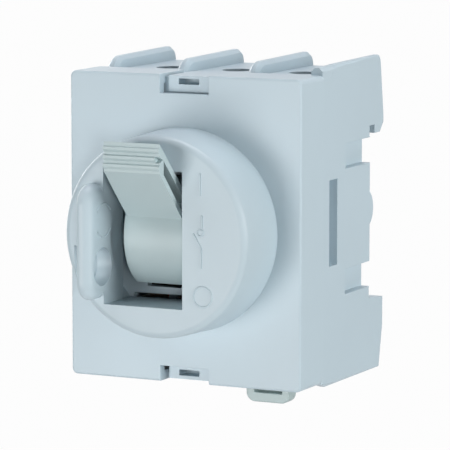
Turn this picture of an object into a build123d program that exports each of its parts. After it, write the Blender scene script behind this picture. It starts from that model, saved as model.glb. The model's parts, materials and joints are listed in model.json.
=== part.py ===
"""Three-pole toggle main switch for a 35 mm hat rail.

Frame: Y = 0 is the plane that seats on the rail, the front looks along -Y, Z is up,
and the origin is the middle of the rail. All sizes are millimetres.
"""
import os
from math import cos, radians, sin

from build123d import *

os.makedirs("parts", exist_ok=True)

# Rail and rail clip
rail_height = 35.0
rail_thickness = 1.0
rail_play = 0.7
hook_slot = 2.4
hook_grip = 1.1
seat_relief = 0.3
seat_relief_gap = 0.4
clip_width = 10.3
clip_flange = 1.1
clip_flange_thickness = 1.5
clip_front_gap = 0.7
clip_clearance = 0.3
clip_foot_drop = 9.6
clip_foot_joggle = 1.7
clip_foot_neck = 0.6
clip_bite = 1.2
clip_back_gap = 0.2
clip_lead_in = 2.0
clip_foot_round = 2.0
clip_flange_end = 1.0
foot_slot_width = 6.6
foot_slot_height = 1.0
foot_slot_depth = 2.0
foot_slot_rise = 2.6
peg_width = 3.4
peg_height = 1.5
peg_rise = 0.6
peg_set_back = 2.0
spring_window_gap = 2.0
fold_count = 4
fold_leaf = 0.35
fold_depth = 2.0

# Base housing
base_width = 51.7
base_top_step = 2.1
base_low_step = 1.1
base_front_depth = 25.3
lip_depth = 7.3
hook_back = 1.6
lower_slope_height = 9.0
lip_slope = 1.9
seat_slope = 0.7
back_round = 1.4
low_back_round = 0.6
fin_height = 3.0
fin_thickness = 2.6
fin_bevel = 0.8
fin_set_back = 3.4
fin_ramp = 2.2
fin_rise = 0.4
fin_round = 4.0
low_nose = 3.1
low_nose_rise = 1.1
side_draft = 0.7
hook_nose = 2.0
side_wall = 4.2
end_wall = 2.2
floor_thickness = 6.1
partition_thickness = 2.0
wire_radius = 3.25
side_notch_depth = 2.4
side_notch_height = 5.3
side_notch_length = 13.2
side_notch_place = 13.1
side_slot_height = 17.8
side_slot_width = 4.2
side_slot_depth = 3.4
side_slot_set_back = 3.7
bump_chord = 7.0
bump_height = 1.9
bump_length = 4.1
bump_place = 0.8
locating_lip = 2.0
lip_clearance = 0.3

# Front cover
cover_overhang = 0.4
cover_height = 63.4
cover_depth = 11.1
cover_wall = 2.0
cover_drop = 1.0
cover_edge = 1.2
cover_front_edge = 0.5
window_side_gap = 0.45
window_end_gap = 0.2
cheek_window_gap = 0.6
sill_height = 1.5
sill_slot_low = 0.5
latch_width = 9.3
top_latch_thickness = 3.3
low_latch_thickness = 2.7
latch_inset = 0.4
latch_recess = 2.2
latch_clearance = 0.2
latch_side_gap = 0.9
latch_root = 2.0
tool_slot_width = 4.6
tool_slot_height = 1.2
tool_slot_depth = 3.0
tool_slot_rise = 0.5

# Round collar with its lever well and padlock ear
collar_foot_radius = 21.05
collar_taper = 2.35
collar_height = 13.4
collar_wall = 2.2
collar_rim = 1.5
well_left = -11.5
well_right = 6.3
well_height = 27.8
well_drop = 0.3
well_wall = 1.6
well_side_depth = 8.4
well_end_depth = 11.8
ear_thickness = 3.3
ear_height = 23.5
ear_drop = 1.45
ear_proud = 5.85
ear_root = 5.8
ear_corner = 4.0
ear_round = 2.0
ear_back_round = 1.0
eye_radius = 3.9
eye_drop = 5.05
eye_sink = -0.4
ramp_length = 3.4
ramp_wall = 1.6
post_circle = 18.2
post_radius = 1.3
post_clearance = 0.15
post_barb = 0.45
post_barb_length = 1.0
post_play = 0.1
post_angles = (65.0, 115.0, 245.0, 295.0)

# Toggle lever, its axle and its drive pin
lever_left = -8.0
lever_right = 5.2
lever_drop = 0.4
pivot_inset = 0.2
barrel_radius = 11.43
barrel_wall = 1.7
barrel_low = -62.0
barrel_high = 128.0
cheek = 1.8
arm_inset = 0.35
arm_root_reach = 10.66
arm_root_rise = 4.06
nose_reach = 20.5
nose_low = 14.2
nose_high = 20.2
strip_root_reach = 8.05
strip_root_rise = 8.1
panel_thickness = 1.1
strip_thickness = 1.3
nose_thickness = 1.8
nick_low = 16.1
nick_high = 17.8
nick_reach = 1.5
nick_depth = 1.0
rib_count = 3
rib_depth = 0.45
rib_sink = 0.1
lever_throw = 74.0
axle_radius = 2.0
axle_boss = 4.6
axle_bevel = 0.3
pin_circle = 4.5
pin_radius = 1.25
pin_boss = 2.8
running_gap = 0.05

# Mechanism frame
frame_cheek = 2.5
frame_gap = 0.5
frame_bar = 1.3
frame_bar_gap = 0.6
frame_neck = 5.0

# Contact carrier, bridges and fixed contacts
stem_width = 4.0
stem_centre = -1.4
stem_axle_gap = 0.4
stem_prong = 1.6
stem_roof = 1.4
pin_slot_gap = 0.2
bar_height = 5.0
bar_depth = 3.5
bar_end_gap = 1.4
holder_side_gap = 1.73
holder_wall = 1.8
holder_height = 8.4
holder_back = 1.4
holder_front = 2.5
bridge_length = 20.4
bridge_thickness = 1.2
bridge_gap = 0.2
bridge_corner = 1.0
spring_rise = 3.4
spring_leaf = 0.4
spring_inset = 0.5
spring_length = 7.6
tip_radius = 1.75
tip_height = 1.0
tip_place = 8.0
contact_gap = 0.05
strip_gap = 0.6
strip_copper = 1.5
strip_inner = 5.5
slide_gap = 0.3

# Terminal clamps and screws
cage_side_gap = 1.43
cage_wall = 1.2
cage_length = 8.0
cage_inner = 7.8
cage_top = 1.6
cage_end_gap = 1.1
cage_gap = 0.2
cage_corner = 0.8
screw_radius = 2.0
screw_head_radius = 3.6
screw_head_height = 2.4
screw_lift = 3.8
screw_slot = 0.9
screw_slot_depth = 1.2

# Derived places shared by several pieces
half_width = base_width / 2
cover_width = base_width + 2 * cover_overhang
base_front = -base_front_depth
cover_front = base_front - cover_depth
cover_inside = cover_front + cover_wall
cover_z = -cover_drop
cover_top = cover_z + cover_height / 2
cover_bottom = cover_z - cover_height / 2
base_top = cover_top + base_top_step
base_bottom = cover_bottom - base_low_step
collar_face = cover_front - collar_height
pivot_y = cover_front + pivot_inset
pivot_z = cover_z - lever_drop
well_z = cover_z - well_drop
lever_width = lever_right - lever_left
channel_floor = base_top - fin_height
chamber_top = channel_floor - end_wall
chamber_side = half_width - side_wall
chamber_floor = -floor_thickness
half_partition = partition_thickness / 2
partition_place = (half_width - fin_thickness / 2) / 3
side_chamber = chamber_side - partition_place - half_partition
pole_pitch = chamber_side - side_chamber / 2
cage_width = side_chamber - 2 * cage_side_gap
strip_width = cage_width - 2 * (cage_wall + strip_gap)
holder_width = side_chamber - 2 * holder_side_gap
bridge_width = holder_width - 2 * (holder_wall + bridge_gap)
spring_width = bridge_width - 2 * spring_inset
pole_places = {"left": -pole_pitch, "middle": 0.0, "right": pole_pitch}
frame_left = lever_left - frame_gap - frame_cheek
frame_right = lever_right + frame_gap + frame_cheek
frame_bar_low = barrel_radius + frame_bar_gap
half_throw = radians(lever_throw / 2)
pin_y = pivot_y + pin_circle * sin(half_throw)
pin_z = pivot_z + pin_circle * cos(half_throw)
strip_face = chamber_floor - strip_copper
fixed_tip_face = strip_face - tip_height
bridge_back = fixed_tip_face - contact_gap - tip_height
bridge_front = bridge_back - bridge_thickness
holder_back_y = bridge_back + bridge_gap + holder_back
holder_front_y = bridge_front - spring_rise - holder_front
wire_y = strip_face - cage_inner / 2
cage_front = strip_face - cage_inner
cage_z = chamber_top - cage_end_gap - cage_length / 2
cage_floor = chamber_floor + cage_wall + 2 * cage_gap
rail_edge = rail_height / 2
clip_top = -rail_edge + clip_bite
clip_bottom = base_bottom - clip_foot_drop
clip_front = rail_thickness + clip_front_gap
clip_back = lip_depth - clip_back_gap


def front_plane(y):
    """A sketch plane at depth y that looks forward, with X across and Z up."""
    return Plane.XZ.offset(-y)


def side_plane(x):
    """A sketch plane at place x that looks along +X, with Y across and Z up."""
    return Plane.YZ.offset(x)


def span(low, high):
    """Middle and length of a stretch."""
    return (low + high) / 2, high - low


def block(x, y, z, mode=Mode.ADD):
    """A plain rectangular stretch of wall or cut, from (low, high) pairs."""
    (cx, dx), (cy, dy), (cz, dz) = span(*x), span(*y), span(*z)
    with Locations((cx, cy, cz)):
        Box(dx, dy, dz, mode=mode)


def rod_x(radius, x, y, z, mode=Mode.ADD):
    """A round bar or bore along X."""
    middle, length = span(*x)
    with Locations(Location((middle, y, z), (0, 90, 0))):
        Cylinder(radius, length, mode=mode)


def rod_y(radius, x, y, z, mode=Mode.ADD):
    """A round bar or bore along Y."""
    middle, length = span(*y)
    with Locations(Location((x, middle, z), (90, 0, 0))):
        Cylinder(radius, length, mode=mode)


def rod_z(radius, x, y, z, mode=Mode.ADD):
    """A round bar or bore along Z."""
    middle, length = span(*z)
    with Locations((x, y, middle)):
        Cylinder(radius, length, mode=mode)


def keep(builder, name):
    """Label a finished piece and write it."""
    builder.part.label = name
    export_step(builder.part, f"parts/{name}.step")


# Base housing: side profile swept across the width, then opened into three pole chambers
hook_low = rail_edge - hook_grip
hook_high = rail_edge + rail_play
seat_low = -rail_edge - rail_play
back_top = lip_depth - lip_slope
fin_front = base_front + fin_set_back
pad_high = hook_low - seat_relief_gap
pad_low = clip_top + seat_relief_gap
base_profile = [
    (base_front, channel_floor),
    (fin_front, channel_floor),
    (fin_front + fin_ramp, base_top - fin_rise),
    (back_top, base_top),
    (lip_depth, hook_low + hook_nose + hook_back),
    (lip_depth, hook_low + hook_nose),
    (lip_depth - hook_nose, hook_low),
    (hook_slot, hook_low),
    (hook_slot, hook_high),
    (-seat_relief, hook_high),
    (-seat_relief, pad_high),
    (0, pad_high),
    (0, pad_low),
    (-seat_relief, pad_low),
    (-seat_relief, seat_low),
    (lip_depth, seat_low - seat_slope),
    (lip_depth, base_bottom + lower_slope_height),
    (back_top, base_bottom),
    (base_front + low_nose, base_bottom),
    (base_front, base_bottom + low_nose_rise),
]
base_rounds = [
    (fin_front + fin_ramp, base_top - fin_rise, fin_round),
    (back_top, base_top, back_round),
    (lip_depth, seat_low - seat_slope, back_round),
    (back_top, base_bottom, low_back_round),
]
clip_channel = clip_width / 2 + clip_clearance
clip_groove = clip_channel + clip_flange
peg_low = -channel_floor + peg_rise
clip_window_top = seat_low - spring_window_gap

with BuildPart() as base_housing:
    with BuildSketch(side_plane(-half_width)) as profile:
        with BuildLine():
            Polyline(base_profile, close=True)
        make_face()
        corners = profile.vertices()
        for y, z, radius in base_rounds:
            fillet(corners.sort_by_distance(Vector(y, z))[0], radius)
    extrude(amount=base_width)
    # Cable channels between the fins, above and below
    fin_inner = partition_place - fin_thickness / 2
    fin_outer = partition_place + fin_thickness / 2
    channels = [
        (-half_width + fin_thickness, -fin_outer),
        (-fin_inner, fin_inner),
        (fin_outer, half_width - fin_thickness),
    ]
    for low, high in channels:
        for z in ((channel_floor, base_top + 1), (base_bottom - 1, -channel_floor)):
            block((low, high), (base_front - 1, lip_depth + 1), z, Mode.SUBTRACT)
    fin_edges = base_housing.edges().filter_by(lambda e: e.length > base_front_depth / 2)
    for level in (base_top - fin_rise / 2, base_bottom):
        chamfer(fin_edges.filter_by(lambda e: abs(e.center().Z - level) < fin_rise), fin_bevel)
    # Locating lip that enters the cover
    lip_side = cover_width / 2 - cover_wall - lip_clearance
    lip_top = cover_top - cover_wall - lip_clearance
    lip_bottom = -channel_floor + lip_clearance
    block((-lip_side, lip_side), (base_front - locating_lip, base_front), (lip_bottom, lip_top))
    # Spring tongues that hold the cover at the top and the bottom
    half_latch = latch_width / 2
    latch_y = (cover_front + latch_recess, base_front + latch_root)
    top_tongue = (cover_top - latch_inset - top_latch_thickness, cover_top - latch_inset)
    low_tongue = (cover_bottom + latch_inset, cover_bottom + latch_inset + low_latch_thickness)
    block((-half_latch, half_latch), latch_y, top_tongue)
    block((-half_latch, half_latch), latch_y, low_tongue)
    block((-half_latch, half_latch), (base_front, latch_y[1]), (low_tongue[0], -chamber_top))
    for tool_slot_z in (span(*top_tongue)[0] + tool_slot_rise, span(*low_tongue)[0]):
        with BuildSketch(front_plane(latch_y[0])):
            with Locations((0, tool_slot_z)):
                Rectangle(tool_slot_width, tool_slot_height)
        extrude(amount=-tool_slot_depth, mode=Mode.SUBTRACT)
    # Pole chambers and the deeper seats of the terminal clamps
    chambers = [
        (-chamber_side, -partition_place - half_partition),
        (-partition_place + half_partition, partition_place - half_partition),
        (partition_place + half_partition, chamber_side),
    ]
    open_front = base_front - locating_lip - 1
    for low, high in chambers:
        block((low, high), (open_front, chamber_floor), (-chamber_top, chamber_top), Mode.SUBTRACT)
        for side in (1, -1):
            seat_z = sorted((side * (cage_z - cage_length / 2 - cage_gap), side * chamber_top))
            block((low, high), (chamber_floor - 1, cage_floor), seat_z, Mode.SUBTRACT)
    # Partitions end level with the base front, with a guide slot for the carrier bar
    block((-chamber_side, chamber_side), (open_front, base_front), (-chamber_top, chamber_top), Mode.SUBTRACT)
    guide = bar_height / 2 + slide_gap
    guide_floor = holder_front_y + bar_depth + slide_gap
    for side in (-1, 1):
        place = side * partition_place
        block((place - half_partition - 1, place + half_partition + 1), (open_front, guide_floor), (-guide, guide),
              Mode.SUBTRACT)
    # Cable entries
    for x in pole_places.values():
        for side in (1, -1):
            rod_z(wire_radius, x, wire_y, sorted((side * (chamber_top - 1), side * (channel_floor + 1))), Mode.SUBTRACT)
    # Notches and accessory slots in both sides, and the half-round stops on the seat
    slot_y = base_front + side_slot_set_back
    bump_radius = (bump_chord ** 2 / 4 + bump_height ** 2) / (2 * bump_height)
    for side in (-1, 1):
        outer = side * (half_width + 1)
        notch_x = sorted((side * (half_width - side_notch_depth), outer))
        slot_x = sorted((side * (half_width - side_slot_depth), outer))
        for z in (side_notch_place, -side_notch_place):
            notch_z = (z - side_notch_height / 2, z + side_notch_height / 2)
            block(notch_x, (-side_notch_length, 1), notch_z, Mode.SUBTRACT)
        block(slot_x, (slot_y, slot_y + side_slot_width), (-side_slot_height / 2, side_slot_height / 2), Mode.SUBTRACT)
        bump_x = sorted((side * (half_width - bump_length), side * half_width))
        rod_x(bump_radius, bump_x, bump_height - bump_radius, bump_place)
    # T-shaped channel of the rail clip, with the peg that its spring pushes on
    groove_y = (clip_front - clip_clearance, clip_front + clip_flange_thickness + clip_clearance)
    channel_z = (base_bottom - 1, seat_low + 1)
    block((-clip_groove, clip_groove), groove_y, channel_z, Mode.SUBTRACT)
    block((-clip_channel, clip_channel), (groove_y[0], lip_depth + 1), channel_z, Mode.SUBTRACT)
    peg_y = (groove_y[0], clip_back - peg_set_back)
    block((-peg_width / 2, peg_width / 2), peg_y, (peg_low, peg_low + peg_height))
    # Moulding draft: both sides lean in towards the back
    for side in (-1, 1):
        with BuildSketch(Plane.XY.offset(base_bottom - 1)):
            with BuildLine():
                Polyline((side * half_width, base_front), (side * (half_width - side_draft), lip_depth),
                         (side * half_width, lip_depth), close=True)
            make_face()
        extrude(amount=base_top - base_bottom + 2, mode=Mode.SUBTRACT)
keep(base_housing, "base_housing")

# Front cover: a shallow tray with the lever window, post holes and latch notches
window_half = barrel_radius + window_end_gap
cheek_half = frame_neck + cheek_window_gap
post_places = [(post_circle * cos(radians(a)), post_circle * sin(radians(a))) for a in post_angles]

with BuildPart() as front_cover:
    with BuildSketch(front_plane(base_front)):
        with Locations((0, cover_z)):
            Rectangle(cover_width, cover_height)
    extrude(amount=cover_depth)
    fillet(front_cover.edges().filter_by(Axis.Y), cover_edge)
    fillet(front_cover.faces().sort_by(Axis.Y)[0].edges(), cover_front_edge)
    with BuildSketch(front_plane(base_front)):
        with Locations((0, cover_z)):
            Rectangle(cover_width - 2 * cover_wall, cover_height - 2 * cover_wall)
    extrude(amount=cover_depth - cover_wall, mode=Mode.SUBTRACT)
    block((lever_left - window_side_gap, lever_right + window_side_gap), (cover_front - 1, cover_inside + 1),
          (pivot_z - window_half, pivot_z + window_half), Mode.SUBTRACT)
    block((frame_left - window_side_gap, frame_right + window_side_gap), (cover_front - 1, cover_inside + 1),
          (pivot_z - cheek_half, pivot_z + cheek_half), Mode.SUBTRACT)
    well_floor = well_z - well_height / 2
    block((well_left, well_right), (cover_front - 1, cover_inside + 1),
          (well_floor - sill_slot_low, pivot_z - window_half - sill_height), Mode.SUBTRACT)
    for x, z in post_places:
        rod_y(post_radius + post_clearance, x, (cover_front - 1, cover_inside + 1), cover_z + z, Mode.SUBTRACT)
    notch = half_latch + latch_side_gap
    block((-notch, notch), (cover_front - 1, base_front + 1), (top_tongue[0] - latch_clearance, cover_top + 1),
          Mode.SUBTRACT)
    block((-notch, notch), (cover_front - 1, base_front + 1), (cover_bottom - 1, low_tongue[1] + latch_clearance),
          Mode.SUBTRACT)
keep(front_cover, "front_cover")

# Round collar: a tapered cup with the lever well, the padlock ear and four snap posts
ear_left = well_left - ear_thickness
ear_low = cover_z - ear_drop - ear_height / 2
ear_high = ear_low + ear_height
eye_y = collar_face + eye_sink
eye_z = cover_z - eye_drop - ear_drop
ramp_floor = eye_y + eye_radius
ramp_half = eye_radius + ramp_wall

with BuildPart() as collar_hollow:
    with BuildSketch(front_plane(cover_front)):
        with Locations((0, cover_z)):
            Circle(collar_foot_radius - collar_wall)
    extrude(amount=collar_height - collar_wall, taper=collar_taper)
    # The wall stays thick behind the ramp of the padlock eye
    block((ear_left - ramp_length - ramp_wall, ear_left), (collar_face, ramp_floor + ramp_wall),
          (eye_z - ramp_half, eye_z + ramp_half), Mode.SUBTRACT)

with BuildPart() as lever_collar:
    with BuildSketch(front_plane(cover_front)):
        with Locations((0, cover_z)):
            Circle(collar_foot_radius)
    extrude(amount=collar_height, taper=collar_taper)
    fillet(lever_collar.faces().sort_by(Axis.Y)[0].edges(), collar_rim)
    add(collar_hollow.part, mode=Mode.SUBTRACT)
    # Walls of the lever well: deep at the top and bottom, shallow beside the lever
    wall_start = collar_face + collar_rim
    side_end = collar_face + well_side_depth
    end_end = collar_face + well_end_depth
    wall_x = (well_left - well_wall, well_right + well_wall)
    wall_z = (well_z - well_height / 2 - well_wall, well_z + well_height / 2 + well_wall)
    block(wall_x, (wall_start, side_end), wall_z)
    block((well_left, well_right), (side_end, end_end), wall_z)
    # Padlock ear beside the well
    with BuildSketch(side_plane(ear_left)) as ear_profile:
        with BuildLine():
            front = collar_face - ear_proud
            root = collar_face + ear_root
            Polyline((root, ear_low), (front, ear_low), (front, ear_high), (root, ear_high), close=True)
        make_face()
        fillet(ear_profile.vertices().group_by(Axis.X)[0], ear_corner)
    extrude(amount=ear_thickness)
    ear_rim = lever_collar.edges().filter_by(lambda e: e.center().Y < collar_face - 0.5)
    fillet(ear_rim.filter_by(lambda e: abs(e.center().X - well_left) < 0.01), ear_round)
    ear_rim = lever_collar.edges().filter_by(lambda e: e.center().Y < collar_face - 0.5)
    fillet(ear_rim.filter_by(lambda e: abs(e.center().X - ear_left) < 0.01), ear_back_round)
    rod_x(eye_radius, (ear_left, well_left + 1), eye_y, eye_z, Mode.SUBTRACT)
    with BuildSketch(Plane.XY.offset(eye_z - eye_radius)):
        with BuildLine():
            Polyline((ear_left, ramp_floor), (ear_left - ramp_length, collar_face), (ear_left, collar_face), close=True)
        make_face()
    extrude(amount=2 * eye_radius, mode=Mode.SUBTRACT)
    # Snap posts through the cover
    for x, z in post_places:
        barb_start = cover_inside + post_play
        rod_y(post_radius, x, (wall_start, barb_start), cover_z + z)
        rod_y(post_radius + post_barb, x, (barb_start, barb_start + post_barb_length), cover_z + z)
    block((well_left, well_right), (collar_face - 1, cover_front), (well_z - well_height / 2, well_z + well_height / 2),
          Mode.SUBTRACT)
keep(lever_collar, "lever_collar")


def lever_point(reach, rise):
    """A point of the lever's side view, measured forward and up from its axle."""
    return (pivot_y - reach, pivot_z + rise)


def shifted(start, end, amount):
    """The two ends of a line moved sideways, to its left seen from start to end."""
    (ax, ay), (bx, by) = start, end
    length = ((bx - ax) ** 2 + (by - ay) ** 2) ** 0.5
    nx, ny = -(by - ay) / length * amount, (bx - ax) / length * amount
    return (ax + nx, ay + ny), (bx + nx, by + ny)


# Toggle lever: hollow arm with a ribbed nose, on a barrel with two cheeks
panel_root = (arm_root_reach, arm_root_rise)
panel_nose = (nose_reach, nose_low)
strip_nose = (nose_reach, nose_high)
strip_root = (strip_root_reach, strip_root_rise)
hollow_panel = shifted(panel_root, panel_nose, panel_thickness)
hollow_strip = shifted(strip_nose, strip_root, strip_thickness)
panel_slope = (nose_low - arm_root_rise) / (nose_reach - arm_root_reach)
strip_slope = (nose_high - strip_root_rise) / (nose_reach - strip_root_reach)
hollow_reach = nose_reach - nose_thickness
hollow_low = hollow_panel[0][1] + (hollow_reach - hollow_panel[0][0]) * panel_slope
hollow_high = hollow_strip[0][1] + (hollow_reach - hollow_strip[0][0]) * strip_slope
rib_pitch = (nose_high - nose_low) / (rib_count + 0.5)

with BuildPart() as toggle_lever:
    # Barrel shell
    with BuildSketch(side_plane(lever_left)):
        with BuildLine():
            centre = (pivot_y, pivot_z)
            outer = CenterArc(centre, barrel_radius, 180 - barrel_high, barrel_high - barrel_low)
            inner = CenterArc(centre, barrel_radius - barrel_wall, 180 - barrel_high, barrel_high - barrel_low)
            Line(outer @ 0, inner @ 0)
            Line(outer @ 1, inner @ 1)
        make_face()
    extrude(amount=lever_width)
    # Cheeks with the axle boss and the drive pin boss
    for x in (lever_left, lever_right - cheek):
        with BuildSketch(side_plane(x)):
            with BuildLine():
                rim = CenterArc((pivot_y, pivot_z), barrel_radius, 180 - barrel_high, barrel_high - barrel_low)
                Line(rim @ 0, (pivot_y, pivot_z))
                Line(rim @ 1, (pivot_y, pivot_z))
            make_face()
            with Locations((pivot_y, pivot_z)):
                Circle(axle_boss)
            with Locations((pin_y, pin_z)):
                Circle(pin_boss)
        extrude(amount=cheek)
    # Arm between the front panel and the back strip, open from side to side
    inward = 0.5 * barrel_wall
    with BuildSketch(side_plane(lever_left + arm_inset)):
        with BuildLine():
            Polyline(
                lever_point(arm_root_reach - inward, arm_root_rise),
                lever_point(*panel_root),
                lever_point(*panel_nose),
                lever_point(*strip_nose),
                lever_point(*strip_root),
                lever_point(strip_root_reach - inward, strip_root_rise - inward),
                close=True,
            )
        make_face()
        with BuildLine():
            Polyline(
                lever_point(*hollow_panel[0]),
                lever_point(hollow_reach, hollow_low),
                lever_point(hollow_reach, hollow_high),
                lever_point(*hollow_strip[1]),
                close=True,
            )
        make_face(mode=Mode.SUBTRACT)
        with Locations((pivot_y, pivot_z)):
            Circle(barrel_radius - inward, mode=Mode.SUBTRACT)
    extrude(amount=lever_width - 2 * arm_inset)
    # Grip ribs across the nose
    for index in range(rib_count):
        low = nose_low + (index + 0.25) * rib_pitch
        with BuildSketch(side_plane(lever_left + arm_inset)):
            with BuildLine():
                Polyline(
                    lever_point(nose_reach - rib_sink, low),
                    lever_point(nose_reach + rib_depth, low + 0.35 * rib_pitch),
                    lever_point(nose_reach + rib_depth, low + 0.65 * rib_pitch),
                    lever_point(nose_reach - rib_sink, low + 0.8 * rib_pitch),
                    close=True,
                )
            make_face()
        extrude(amount=lever_width - 2 * arm_inset)
    # Small nick in the right end of the nose
    nick = [(nose_reach + rib_depth, nick_low), (nose_reach - nick_reach, (nick_low + nick_high) / 2),
            (nose_reach + rib_depth, nick_high)]
    with BuildSketch(side_plane(lever_right - arm_inset - nick_depth)):
        with BuildLine():
            Polyline([lever_point(*corner) for corner in nick], close=True)
        make_face()
    extrude(amount=arm_inset + nick_depth, mode=Mode.SUBTRACT)
    through = (lever_left - 1, lever_right + 1)
    rod_x(axle_radius + running_gap, through, pivot_y, pivot_z, Mode.SUBTRACT)
    rod_x(pin_radius, through, pin_y, pin_z, Mode.SUBTRACT)
keep(toggle_lever, "toggle_lever")

with BuildPart() as drive_pin:
    rod_x(pin_radius, (lever_left + arm_inset, lever_right - arm_inset), pin_y, pin_z)
keep(drive_pin, "drive_pin")

with BuildPart() as lever_axle:
    rod_x(axle_radius, (frame_left, frame_right), pivot_y, pivot_z)
    chamfer(lever_axle.edges().filter_by(GeomType.CIRCLE), axle_bevel)
keep(lever_axle, "lever_axle")

# Mechanism frame: two bearing cheeks and two bars, held between the base and the cover
frame_top = frame_bar_low + frame_bar

with BuildPart() as mechanism_frame:
    for x in (frame_left, frame_right - frame_cheek):
        with BuildSketch(side_plane(x)):
            with BuildLine():
                Polyline(
                    (base_front, pivot_z - frame_top),
                    (cover_inside, pivot_z - frame_top),
                    (cover_inside, pivot_z - frame_neck),
                    (pivot_y, pivot_z - axle_boss),
                    (pivot_y, pivot_z + axle_boss),
                    (cover_inside, pivot_z + frame_neck),
                    (cover_inside, pivot_z + frame_top),
                    (base_front, pivot_z + frame_top),
                    close=True,
                )
            make_face()
            with Locations((pivot_y, pivot_z)):
                Circle(axle_boss)
        extrude(amount=frame_cheek)
    for side in (-1, 1):
        bar_z = sorted((pivot_z + side * frame_bar_low, pivot_z + side * frame_top))
        block((frame_left, frame_right), (cover_inside, base_front), bar_z)
    rod_x(axle_radius, (frame_left - 1, frame_right + 1), pivot_y, pivot_z, Mode.SUBTRACT)
keep(mechanism_frame, "mechanism_frame")

# Contact carrier: cross bar, three bridge holders and the fork that the drive pin moves
stem_low = pivot_z + axle_radius + stem_axle_gap
slot_high = pivot_z + pin_circle + pin_radius + pin_slot_gap
stem_high = slot_high + stem_roof
slot_half = pin_radius + pin_slot_gap
half_bar = chamber_side - bar_end_gap

with BuildPart() as contact_carrier:
    block((-half_bar, half_bar), (holder_front_y, holder_front_y + bar_depth), (-bar_height / 2, bar_height / 2))
    for x in pole_places.values():
        holder_x = (x - holder_width / 2, x + holder_width / 2)
        block(holder_x, (holder_front_y, holder_back_y), (-holder_height / 2, holder_height / 2))
    for x in pole_places.values():
        window_x = (x - bridge_width / 2 - bridge_gap, x + bridge_width / 2 + bridge_gap)
        window_y = (bridge_front - spring_rise, bridge_back + bridge_gap)
        block(window_x, window_y, (-holder_height, holder_height), Mode.SUBTRACT)
    with BuildSketch(side_plane(stem_centre - stem_width / 2)):
        with BuildLine():
            Polyline(
                (holder_front_y, stem_low),
                (pin_y + slot_half, stem_low),
                (pin_y + slot_half, slot_high),
                (pin_y - slot_half, slot_high),
                (pin_y - slot_half, stem_low),
                (pin_y - slot_half - stem_prong, stem_low),
                (pin_y - slot_half - stem_prong, stem_high),
                (holder_front_y, stem_high),
                close=True,
            )
        make_face()
    extrude(amount=stem_width)
    block((stem_centre - stem_width / 2, stem_centre + stem_width / 2),
          (holder_front_y, holder_front_y + holder_front), (0, stem_high))
keep(contact_carrier, "contact_carrier")

# One copper bridge and one arched leaf spring for each pole
for pole, x in pole_places.items():
    with BuildPart() as bridge:
        half_bridge = bridge_length / 2
        block((x - bridge_width / 2, x + bridge_width / 2), (bridge_front, bridge_back), (-half_bridge, half_bridge))
        fillet(bridge.edges().filter_by(Axis.Y), bridge_corner)
    keep(bridge, f"contact_bridge_{pole}")

    with BuildPart() as leaf:
        with BuildSketch(side_plane(x - spring_width / 2)):
            with BuildLine():
                half_leaf = spring_length / 2
                crown = bridge_front - spring_rise
                outer = ThreePointArc((bridge_front, -half_leaf), (crown, 0), (bridge_front, half_leaf))
                inner = ThreePointArc((bridge_front, -half_leaf + spring_leaf), (crown + spring_leaf, 0),
                                      (bridge_front, half_leaf - spring_leaf))
                Line(outer @ 0, inner @ 0)
                Line(outer @ 1, inner @ 1)
            make_face()
        extrude(amount=spring_width)
    keep(leaf, f"contact_spring_{pole}")

with BuildPart() as bridge_tips:
    for x in pole_places.values():
        for side in (-1, 1):
            rod_y(tip_radius, x, (bridge_back, bridge_back + tip_height), side * tip_place)
keep(bridge_tips, "bridge_tips")

with BuildPart() as fixed_tips:
    for x in pole_places.values():
        for side in (-1, 1):
            rod_y(tip_radius, x, (fixed_tip_face, strip_face), side * tip_place)
keep(fixed_tips, "fixed_tips")

# Terminal strips, cages and screws, above for the line and below for the load
strip_outer = chamber_top - cage_end_gap
cage_half = cage_width / 2
for terminal, side in (("line", 1), ("load", -1)):
    for pole, x in pole_places.items():
        with BuildPart() as strip:
            strip_z = sorted((side * strip_inner, side * strip_outer))
            block((x - strip_width / 2, x + strip_width / 2), (strip_face, chamber_floor), strip_z)
        keep(strip, f"{terminal}_contact_{pole}")

        with BuildPart() as cage:
            cage_back = chamber_floor + cage_gap + cage_wall
            cage_stretch = sorted((side * (cage_z - cage_length / 2), side * (cage_z + cage_length / 2)))
            block((x - cage_half, x + cage_half), (cage_front - cage_top, cage_back), cage_stretch)
            fillet(cage.edges().filter_by(Axis.Z), cage_corner)
            block((x - cage_half + cage_wall, x + cage_half - cage_wall), (cage_front, cage_back - cage_wall),
                  (base_bottom, base_top), Mode.SUBTRACT)
            rod_y(screw_radius, x, (cage_front - cage_top - 1, cage_front + 1), side * cage_z, Mode.SUBTRACT)
        keep(cage, f"{terminal}_clamp_{pole}")

with BuildPart() as terminal_screws:
    head_back = cage_front - cage_top - screw_lift
    for x in pole_places.values():
        for side in (-1, 1):
            z = side * cage_z
            rod_y(screw_radius, x, (head_back, cage_front), z)
            rod_y(screw_head_radius, x, (head_back - screw_head_height, head_back), z)
            slot_depth = (head_back - screw_head_height - 1, head_back - screw_head_height + screw_slot_depth)
            block((x - screw_slot / 2, x + screw_slot / 2), slot_depth,
                  (z - screw_head_radius, z + screw_head_radius), Mode.SUBTRACT)
keep(terminal_screws, "terminal_screws")

# Rail clip: a slide with side flanges, a spring window and a foot with a tool slot
half_clip = clip_width / 2
window_low = peg_low - clip_clearance
window_side = peg_width / 2 + clip_clearance

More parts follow.
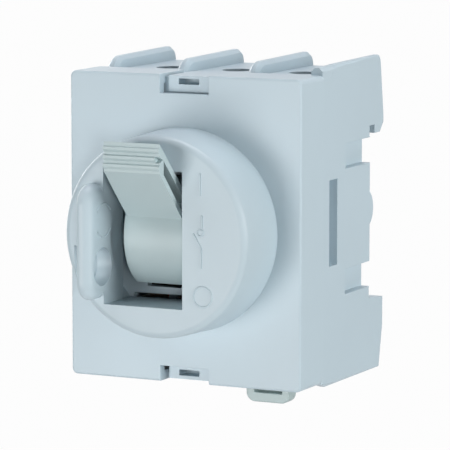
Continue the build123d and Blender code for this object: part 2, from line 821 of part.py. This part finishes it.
with BuildPart() as rail_clip:
    with BuildSketch(front_plane(clip_back)) as clip_face:
        middle, length = span(clip_bottom, clip_top)
        with Locations((0, middle)):
            Rectangle(clip_width, length)
        fillet(clip_face.vertices().group_by(Axis.Y)[0], clip_foot_round)
    extrude(amount=clip_back - clip_front)
    top_back = rail_clip.edges().filter_by(Axis.X).group_by(Axis.Z)[-1].sort_by(Axis.Y)[-1]
    chamfer(top_back, clip_lead_in)
    flange_z = (-channel_floor + clip_flange_end, seat_low - clip_flange_end)
    flange_x = half_clip + clip_flange
    block((-flange_x, flange_x), (clip_front, clip_front + clip_flange_thickness), flange_z)
    block((-window_side, window_side), (clip_front - 1, peg_y[1] + clip_clearance), (window_low, clip_window_top),
          Mode.SUBTRACT)
    foot_front = clip_front + clip_foot_joggle
    block((-half_clip, half_clip), (clip_front - 1, foot_front), (clip_bottom - 1, base_bottom - clip_foot_neck),
          Mode.SUBTRACT)
    slot_z = clip_bottom + foot_slot_rise
    block((-foot_slot_width / 2, foot_slot_width / 2), (clip_front - 1, foot_front + foot_slot_depth),
          (slot_z - foot_slot_height / 2, slot_z + foot_slot_height / 2), Mode.SUBTRACT)
keep(rail_clip, "rail_clip")

# Clip spring: a folded leaf between the peg and the top of the clip's window
fold_low = peg_low + peg_height
fold_half = window_side - fold_leaf
fold_height = clip_window_top - fold_low - fold_leaf

with BuildPart() as clip_spring:
    with BuildSketch(front_plane(peg_y[1])):
        with BuildLine():
            points = []
            for index in range(fold_count + 1):
                x = fold_half if index % 2 else -fold_half
                points.append((x, fold_low + fold_leaf / 2 + index * fold_height / fold_count))
            zigzag = Polyline(points)
            offset(amount=fold_leaf / 2, side=Side.BOTH, kind=Kind.INTERSECTION)
        make_face()
    extrude(amount=fold_depth)
keep(clip_spring, "clip_spring")
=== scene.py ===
import json
from math import pi, radians

import bmesh
import bpy
from mathutils import Matrix, Vector


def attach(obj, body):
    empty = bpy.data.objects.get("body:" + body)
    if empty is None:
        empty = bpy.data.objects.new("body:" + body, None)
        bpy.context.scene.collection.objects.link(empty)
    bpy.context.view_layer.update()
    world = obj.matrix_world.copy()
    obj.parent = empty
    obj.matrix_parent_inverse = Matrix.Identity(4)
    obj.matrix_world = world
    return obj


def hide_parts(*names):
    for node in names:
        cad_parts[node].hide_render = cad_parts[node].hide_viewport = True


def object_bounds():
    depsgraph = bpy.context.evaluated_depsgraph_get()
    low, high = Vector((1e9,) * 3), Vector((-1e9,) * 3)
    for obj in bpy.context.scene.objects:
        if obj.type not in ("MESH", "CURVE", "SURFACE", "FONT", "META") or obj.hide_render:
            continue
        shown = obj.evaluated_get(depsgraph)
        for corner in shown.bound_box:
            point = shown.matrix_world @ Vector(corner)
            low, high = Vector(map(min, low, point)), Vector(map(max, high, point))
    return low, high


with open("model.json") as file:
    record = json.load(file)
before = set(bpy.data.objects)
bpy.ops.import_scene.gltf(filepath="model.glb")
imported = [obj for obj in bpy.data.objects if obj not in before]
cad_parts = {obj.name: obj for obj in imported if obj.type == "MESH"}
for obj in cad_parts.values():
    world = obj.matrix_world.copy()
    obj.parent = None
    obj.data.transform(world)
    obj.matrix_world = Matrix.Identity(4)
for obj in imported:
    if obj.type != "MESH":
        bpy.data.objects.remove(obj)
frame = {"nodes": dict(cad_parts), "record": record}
cad_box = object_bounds()

# Studio: the photograph is a catalogue shot on seamless white paper, taken from far away
# with a long lens. The camera stands right of the switch and a little above it.
camera_place = Vector((0.3101, -0.6495, 0.0910))
camera_target = Vector((-0.000066, -0.01736, -0.00224))
camera = bpy.data.objects.new("camera", bpy.data.cameras.new("camera"))
bpy.context.scene.collection.objects.link(camera)
camera.location = camera_place
camera.rotation_euler = (camera_target - camera_place).to_track_quat("-Z", "Y").to_euler()
camera.data.sensor_width = 36.0
camera.data.lens = 272.0
camera.data.clip_start = 0.01
bpy.context.scene.camera = camera
bpy.context.scene.view_settings.view_transform = "Standard"


class Socket:
    """One output in a node tree. Sums and products of it add Math nodes."""

    def __init__(self, tree, output=None):
        self.tree = tree
        self.output = output

    def add(self, kind, settings, inputs, output=0):
        """Adds a node: its settings first, then a value or a link for each input."""
        node = self.tree.nodes.new(kind)
        for name, value in settings.items():
            setattr(node, name, value)
        for name, value in inputs.items():
            self.feed(node.inputs[name], value)
        return Socket(self.tree, node.outputs[output])

    def feed(self, socket, value):
        """Links a Socket to an input, or sets a plain value on it."""
        if isinstance(value, Socket):
            self.tree.links.new(value.output, socket)
        else:
            socket.default_value = value

    def maths(self, operation, first, second):
        return self.add("ShaderNodeMath", {"operation": operation}, {0: first, 1: second})

    def __add__(self, other):
        return self.maths("ADD", self, other)

    def __radd__(self, other):
        return self.maths("ADD", other, self)

    def __mul__(self, other):
        return self.maths("MULTIPLY", self, other)

    def __rmul__(self, other):
        return self.maths("MULTIPLY", other, self)


def placed(name, shape, finish):
    """Turns a finished bmesh into an object of the scene, in one material."""
    data = bpy.data.meshes.new(name)
    shape.to_mesh(data)
    shape.free()
    data.materials.append(finish)
    piece = bpy.data.objects.new(name, data)
    bpy.context.scene.collection.objects.link(piece)
    return piece


# Paper: to the camera nearly pure white, with a trace of its lit skin that keeps the shadow.
# In reflections it is half white.
paper_seen = 0.98
paper_mirrored = 0.50
paper = bpy.data.materials.new("white_paper")
paper.use_nodes = True
paper_tree = Socket(paper.node_tree)
paper_shader = paper.node_tree.nodes["Principled BSDF"]
paper_shader.inputs["Base Color"].default_value = (0.80, 0.805, 0.81, 1)
paper_shader.inputs["Roughness"].default_value = 0.9
paper_shader.inputs["Specular IOR Level"].default_value = 0.1
seen = paper_tree.add("ShaderNodeLightPath", {}, {}, "Is Camera Ray")
mirrored = paper_tree.add("ShaderNodeLightPath", {}, {}, "Is Glossy Ray")
through = paper_tree.add("ShaderNodeLightPath", {}, {}, "Is Transmission Ray")
paper_white = seen * paper_seen + mirrored * paper_mirrored + through * paper_seen
paper_glow = paper_tree.add("ShaderNodeEmission", {}, {"Color": (1, 1, 1, 1), "Strength": 1.0})
paper_skin = Socket(paper.node_tree, paper_shader.outputs[0])
paper_mixed = paper_tree.add("ShaderNodeMixShader", {}, {0: paper_white, 1: paper_skin, 2: paper_glow})
paper_tree.feed(paper.node_tree.nodes["Material Output"].inputs["Surface"], paper_mixed)

floor_half_width = 12.0
floor_drop = 0.56
floor_mesh = bmesh.new()
bmesh.ops.create_grid(floor_mesh, x_segments=1, y_segments=1, size=floor_half_width)
bmesh.ops.translate(floor_mesh, verts=floor_mesh.verts, vec=(0, 0, cad_box[0][2] - floor_drop))
floor = placed("paper_floor", floor_mesh, paper)

room_fill = 0.04
room_seen = 0.94
room_mirrored = 0.70
world = bpy.data.worlds.new("white_room")
bpy.context.scene.world = world
world.use_nodes = True
room = Socket(world.node_tree)
ray_seen = room.add("ShaderNodeLightPath", {}, {}, "Is Camera Ray")
ray_mirrored = room.add("ShaderNodeLightPath", {}, {}, "Is Glossy Ray")
ray_through = room.add("ShaderNodeLightPath", {}, {}, "Is Transmission Ray")
room_white = room_fill + ray_seen * room_seen + ray_mirrored * room_mirrored + ray_through * room_seen
room_light = world.node_tree.nodes["Background"]
room_light.inputs["Color"].default_value = (1.0, 1.0, 1.0, 1)
room.feed(room_light.inputs["Strength"], room_white)

# Square soft boxes: name, place, what each points at, width, watts and colour
soft_boxes = [
    ("key_light", (-0.35, -0.95, -0.22), (0, -0.04, 0), 0.46, 4.7, (1.0, 1.0, 1.0)),
    ("camera_light", (0.53, -0.88, 0.06), (0, -0.04, 0), 0.12, 1.4, (1.0, 1.0, 1.0)),
    ("high_light", (-0.46, -0.50, 0.73), (0, -0.04, 0), 0.40, 1.8, (0.97, 0.98, 1.0)),
    ("side_light", (0.97, -0.13, 0.15), (0, -0.02, 0), 0.50, 6.6, (0.98, 1.0, 1.0)),
    ("top_light", (0.0, 0.20, 1.0), (0, -0.02, 0.03), 0.70, 6.0, (0.97, 0.95, 1.0)),
    ("back_light", (-0.80, 0.62, 0.22), (0, -0.02, 0), 0.70, 4.4, (1.0, 1.0, 1.0)),
]
for name, place, aim, width, watts, colour in soft_boxes:
    lamp = bpy.data.lights.new(name, "AREA")
    lamp.shape = "SQUARE"
    lamp.size = width
    lamp.energy = watts
    lamp.color = colour
    stand = bpy.data.objects.new(name, lamp)
    bpy.context.scene.collection.objects.link(stand)
    stand.location = place
    stand.rotation_euler = (Vector(aim) - Vector(place)).to_track_quat("-Z", "Y").to_euler()

# Base housing: the deep box at the back, moulded in one from pale blue-grey glass-filled
# plastic. Fins above and below part the cable channels, and its back seats on the rail.
base_colour = (0.530, 0.640, 0.700)
base_edge = 0.00022
merge_gap = 0.000002
flat_angle = radians(0.6)
sharp_angle = radians(32)
fin_foot = 0.0299
fin_end = 0.0053
fin_shoulder = 0.0319
fin_end_angle = radians(50)
fin_end_round = 0.0012


def moulded_plastic(name, colour, roughness=0.36):
    """Pale engineering plastic from a spark-eroded mould, a little cloudy, with a fine grain."""
    cloud_scale = 60.0
    cloud_share = 0.8
    cloud_rough = 0.06
    speck_scale = 5200.0
    speck_share = 0.2
    speck_rough = 0.03
    polish = 0.04
    pale_gain = 1.035
    deep_gain = 0.955
    finish = bpy.data.materials.new(name)
    finish.use_nodes = True
    tree = finish.node_tree
    shader = tree.nodes["Principled BSDF"]
    start = Socket(tree)
    place = start.add("ShaderNodeTexCoord", {}, {}, "Object")
    cloud = start.add("ShaderNodeTexNoise", {}, {"Vector": place, "Scale": cloud_scale, "Detail": 3.0}, 0)
    speck = start.add("ShaderNodeTexNoise", {}, {"Vector": place, "Scale": speck_scale, "Detail": 1.0}, 0)
    pale = tuple(min(1.0, c * pale_gain) for c in colour) + (1,)
    deep = tuple(c * deep_gain for c in colour) + (1,)
    share = cloud * cloud_share + speck * speck_share
    tint = start.add("ShaderNodeMix", {"data_type": "RGBA"}, {0: share, 6: deep, 7: pale}, 2)
    start.feed(shader.inputs["Base Color"], tint)
    dullness = roughness - polish + cloud * cloud_rough + speck * speck_rough
    start.feed(shader.inputs["Roughness"], dullness)
    bump = start.add("ShaderNodeBump", {}, {"Strength": 0.25, "Distance": 0.00004, "Height": speck})
    start.feed(shader.inputs["Normal"], bump)
    shader.inputs["Specular IOR Level"].default_value = 0.42
    return finish


def softened(node, name, body, finish, radius, shaped=None):
    """A copy of a CAD node with its flat faces joined up and its sharp edges slightly rounded.
    shaped, if given, works on the copy first."""
    shape = bmesh.new()
    shape.from_mesh(frame["nodes"][node].data)
    bmesh.ops.remove_doubles(shape, verts=shape.verts, dist=merge_gap)
    bmesh.ops.dissolve_limit(shape, angle_limit=flat_angle, verts=shape.verts, edges=shape.edges)
    if shaped:
        shaped(shape)
    for face in shape.faces:
        face.smooth = True
        face.material_index = 0
    piece = placed(name, shape, finish)
    rounding = piece.modifiers.new("edge_round", "BEVEL")
    rounding.width = radius
    rounding.segments = 2
    rounding.limit_method = "ANGLE"
    rounding.angle_limit = sharp_angle
    rounding.use_clamp_overlap = True
    shading = piece.modifiers.new("even_shading", "WEIGHTED_NORMAL")
    shading.keep_sharp = True
    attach(piece, body)
    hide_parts(node)


def round_fin_ends(shape):
    """Parts the fins from the back wall, then rounds the upper back corner of each."""
    whole = shape.verts[:] + shape.edges[:] + shape.faces[:]
    bmesh.ops.bisect_plane(
        shape, geom=whole, dist=merge_gap, plane_co=(0, 0, fin_foot), plane_no=(0, 0, 1),
    )
    ends = [
        edge for edge in shape.edges
        if all(vert.co.y > fin_end and vert.co.z > fin_shoulder for vert in edge.verts)
        and edge.is_manifold and edge.calc_face_angle(0) > fin_end_angle
        and abs(edge.verts[0].co.x - edge.verts[1].co.x) > edge.calc_length() / 2
    ]
    bmesh.ops.bevel(
        shape, geom=ends, offset=fin_end_round, offset_type="OFFSET", segments=4, profile=0.5,
        affect="EDGES", clamp_overlap=True, material=-1,
    )


base_plastic = moulded_plastic("base_plastic", base_colour)
softened(
    "base_housing", "base_moulding", "housing", base_plastic, base_edge,
    shaped=round_fin_ends,
)

# Fin lead: the start of the right outer fin, moulded in one with the base. It runs straight
# on to the cover, and its section is the fin's, flat on top with a chamfer each side.
lead_front = -0.0253
lead_length = 0.0083
lead_inner = 0.02329
lead_flat = (0.02409, 0.02501)
lead_outer = 0.02580
lead_floor = 0.0296
lead_shoulder = 0.0314
lead_top = 0.0322
lead_rise = 0.00018
lead_draft = 0.00016
lead_section = [
    (lead_inner, lead_floor),
    (lead_inner, lead_shoulder),
    (lead_flat[0], lead_top),
    (lead_flat[1], lead_top),
    (lead_outer, lead_shoulder),
    (lead_outer, lead_floor),
]
lead = bmesh.new()
lead_start = lead.faces.new([lead.verts.new((x, lead_front, z)) for x, z in lead_section])
lead_grown = bmesh.ops.extrude_face_region(lead, geom=[lead_start])["geom"]
lead_back = [part for part in lead_grown if isinstance(part, bmesh.types.BMVert)]
lead_back_top = [vert for vert in lead_back if vert.co.z > (lead_floor + lead_shoulder) / 2]
lead_back_outer = [vert for vert in lead_back if vert.co.x > (lead_flat[1] + lead_outer) / 2]
bmesh.ops.translate(lead, verts=lead_back, vec=(0, lead_length, 0))
bmesh.ops.translate(lead, verts=lead_back_top, vec=(0, 0, lead_rise))
bmesh.ops.translate(lead, verts=lead_back_outer, vec=(-lead_draft, 0, 0))
bmesh.ops.recalc_face_normals(lead, faces=lead.faces)
fin_lead = placed("fin_lead", lead, base_plastic)
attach(fin_lead, "housing")

# Front cover: a shallow tray moulded from the same plastic and snapped over the base. Two
# latch tongues of the base show in its notches.
cover_colour = (0.535, 0.645, 0.704)
cover_edge = 0.0002
cover_plastic = moulded_plastic("cover_plastic", cover_colour)
softened("front_cover", "cover_moulding", "housing", cover_plastic, cover_edge)

# Latch ledge: a shallow shelf behind the base's upper latch tongue, moulded in one with the
# base. It closes the gap round the tongue, at its two sides and below it.
ledge_front = -0.0339
ledge_back = -0.0334
ledge_spans = [
    ((-0.0066, 0.0256), (-0.0046, 0.0300)),
    ((0.0046, 0.0256), (0.0066, 0.0300)),
    ((-0.0046, 0.0256), (0.0046, 0.0270)),
]
ledge = bmesh.new()
for low, high in ledge_spans:
    block = bmesh.ops.create_cube(ledge, size=1.0)["verts"]
    size = (high[0] - low[0], ledge_back - ledge_front, high[1] - low[1])
    middle = ((low[0] + high[0]) / 2, (ledge_front + ledge_back) / 2, (low[1] + high[1]) / 2)
    bmesh.ops.scale(ledge, verts=block, vec=size)
    bmesh.ops.translate(ledge, verts=block, vec=middle)
latch_ledge = placed("latch_ledge", ledge, base_plastic)
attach(latch_ledge, "housing")

# Round collar: a tapered cup moulded in plastic a little greyer, held to the cover by posts.
# It has the lever's well, and beside it an ear that takes a padlock.
collar_colour = (0.520, 0.624, 0.676)
collar_edge = 0.00018
collar_plastic = moulded_plastic("collar_plastic", collar_colour, roughness=0.38)
softened("lever_collar", "collar_moulding", "housing", collar_plastic, collar_edge)

# Moulded marks: fine ridges on the collar's face for on, the kind of switch and off, and the
# outline of a second eye on the ear's flank. They are part of the collar's moulding.
collar_face = -0.0498
ear_flank = -0.0115
ridge_width = 0.00042
ridge_height = 0.00036
ridge_round = 0.00008
ring_sides = 8
ring_steps = 36
full_turn = 2 * pi


def face_ridge(shape, start, end):
    """A straight ridge on the collar's face between two points given as (x, z)."""
    run = Vector((end[0] - start[0], 0, end[1] - start[1]))
    bar = bmesh.ops.create_cube(shape, size=1.0)["verts"]
    bmesh.ops.scale(shape, verts=bar, vec=(ridge_width, ridge_height, run.length))
    turn = Vector((0, 0, 1)).rotation_difference(run).to_matrix()
    bmesh.ops.rotate(shape, verts=bar, cent=(0, 0, 0), matrix=turn)
    middle = ((start[0] + end[0]) / 2, collar_face, (start[1] + end[1]) / 2)
    bmesh.ops.translate(shape, verts=bar, vec=middle)
    edges = list(dict.fromkeys(edge for vert in bar for edge in vert.link_edges))
    bmesh.ops.bevel(
        shape, geom=edges, offset=ridge_round, segments=2, profile=0.5, affect="EDGES", material=-1,
    )


def ring_ridge(shape, radius, sweep, first, turn, centre):
    """A round ridge, whole or in part, spun about Z, then turned and set on its face."""
    older = set(shape.verts)
    wire = bmesh.ops.create_circle(shape, segments=ring_sides, radius=ridge_width / 2)["verts"]
    bmesh.ops.rotate(shape, verts=wire, cent=(0, 0, 0), matrix=Matrix.Rotation(pi / 2, 3, "X"))
    bmesh.ops.translate(shape, verts=wire, vec=(radius, 0, 0))
    bmesh.ops.rotate(shape, verts=wire, cent=(0, 0, 0), matrix=Matrix.Rotation(first, 3, "Z"))
    loop = wire + list(dict.fromkeys(edge for vert in wire for edge in vert.link_edges))
    bmesh.ops.spin(
        shape, geom=loop, cent=(0, 0, 0), axis=(0, 0, 1), angle=sweep, steps=ring_steps,
        use_merge=sweep == full_turn,
    )
    ring = [vert for vert in shape.verts if vert not in older]
    bmesh.ops.rotate(shape, verts=ring, cent=(0, 0, 0), matrix=turn)
    bmesh.ops.translate(shape, verts=ring, vec=centre)


# The stroke for on, then the switch symbol's upper stem, blade and lower stem
strokes = [
    ((0.01028, 0.01263), (0.01028, 0.00803)),
    ((0.01069, 0.00414), (0.01069, 0.00148)),
    ((0.00875, 0.0004), (0.01053, -0.00267)),
    ((0.01053, -0.00267), (0.01053, -0.00657)),
]
# The switch symbol's pivot, the ring for off, and the two halves of the eye's outline
on_face = Matrix.Rotation(pi / 2, 3, "X")
on_flank = Matrix.Rotation(pi / 2, 3, "Y")
eye_radius = 0.0034
eye_arc = radians(110)
eye_centre = (ear_flank, -0.0496, 0.0019)
rings = [
    (0.00065, full_turn, 0, on_face, (0.01035, collar_face, 0.00055)),
    (0.00205, full_turn, 0, on_face, (0.01081, collar_face, -0.01229)),
    (eye_radius, eye_arc, radians(125), on_flank, eye_centre),
    (eye_radius, eye_arc, radians(-55), on_flank, eye_centre),
]
marks = bmesh.new()
for start, end in strokes:
    face_ridge(marks, start, end)
for radius, sweep, first, turn, centre in rings:
    ring_ridge(marks, radius, sweep, first, turn, centre)
bmesh.ops.holes_fill(marks, edges=marks.edges, sides=ring_sides)
bmesh.ops.recalc_face_normals(marks, faces=marks.faces)
for face in marks.faces:
    face.smooth = True
collar_marks = placed("collar_marks", marks, collar_plastic)
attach(collar_marks, "housing")

# Toggle lever: a hollow arm on a barrel, moulded in greyer plastic, with a ribbed nose for
# the finger. It turns on an axle that the mechanism frame holds.
lever_colour = (0.480, 0.585, 0.600)
lever_edge = 0.0002
lever_plastic = moulded_plastic("lever_plastic", lever_colour, roughness=0.4)
softened("toggle_lever", "lever_moulding", "lever", lever_plastic, lever_edge)

# Rail clip: a slide in the base's back with a foot below, moulded in grey-green plastic. A
# folded leaf spring pushes it up against the rail.
clip_colour = (0.440, 0.535, 0.530)
clip_edge = 0.0003
clip_plastic = moulded_plastic("clip_plastic", clip_colour)
softened("rail_clip", "clip_moulding", "clip", clip_plastic, clip_edge)

# Mechanism inside the case: a dark frame and contact carrier of glass-filled plastic, which
# show only through the well and the cable entries.
frame_colour = (0.035, 0.038, 0.042)
frame_plastic = moulded_plastic("frame_plastic", frame_colour, roughness=0.55)
for node in ("mechanism_frame", "contact_carrier"):
    frame["nodes"][node].data.materials[0] = frame_plastic

# Current path and fixings: copper strips and bridges with silver tips, plated cages and screws,
# ground pins and blued springs, all hidden by the case except down the cable entries.


def worked_metal(name, colour, roughness, streak):
    """Bare or plated metal with fine drawing lines across the stock."""
    line_scale = 900.0
    line_rough = 0.12
    bright_gain = 1.08
    dull_gain = 0.88
    finish = bpy.data.materials.new(name)
    finish.use_nodes = True
    tree = finish.node_tree
    shader = tree.nodes["Principled BSDF"]
    start = Socket(tree)
    place = start.add("ShaderNodeTexCoord", {}, {}, "Object")
    stretched = start.add("ShaderNodeMapping", {}, {"Vector": place, "Scale": streak})
    lines = start.add("ShaderNodeTexNoise", {}, {"Vector": stretched, "Scale": line_scale, "Detail": 2.0}, 0)
    bright = tuple(min(1.0, c * bright_gain) for c in colour) + (1,)
    dull = tuple(c * dull_gain for c in colour) + (1,)
    tint = start.add("ShaderNodeMix", {"data_type": "RGBA"}, {0: lines, 6: dull, 7: bright}, 2)
    start.feed(shader.inputs["Base Color"], tint)
    start.feed(shader.inputs["Roughness"], roughness + lines * line_rough)
    bump = start.add("ShaderNodeBump", {}, {"Strength": 0.2, "Distance": 0.00003, "Height": lines})
    start.feed(shader.inputs["Normal"], bump)
    shader.inputs["Metallic"].default_value = 1.0
    return finish


# For each of the record's slots: finish, colour, roughness, and the stretch of its lines
metals = {
    "copper": worked_metal("drawn_copper", (0.72, 0.36, 0.22), 0.28, (4, 4, 0.3)),
    "silver": worked_metal("silver_tip", (0.82, 0.81, 0.78), 0.22, (1, 1, 1)),
    "clamp_steel": worked_metal("plated_cage", (0.58, 0.58, 0.55), 0.34, (3, 3, 0.4)),
    "screw_steel": worked_metal("plated_screw", (0.62, 0.61, 0.57), 0.30, (1, 5, 1)),
    "spring_steel": worked_metal("spring_leaf", (0.30, 0.31, 0.33), 0.32, (0.4, 3, 3)),
    "steel": worked_metal("ground_steel", (0.55, 0.56, 0.57), 0.24, (0.3, 4, 4)),
}
for piece in frame["record"]["subparts"]:
    if piece["material_slot"] in metals:
        frame["nodes"][piece["node"]].data.materials[0] = metals[piece["material_slot"]]
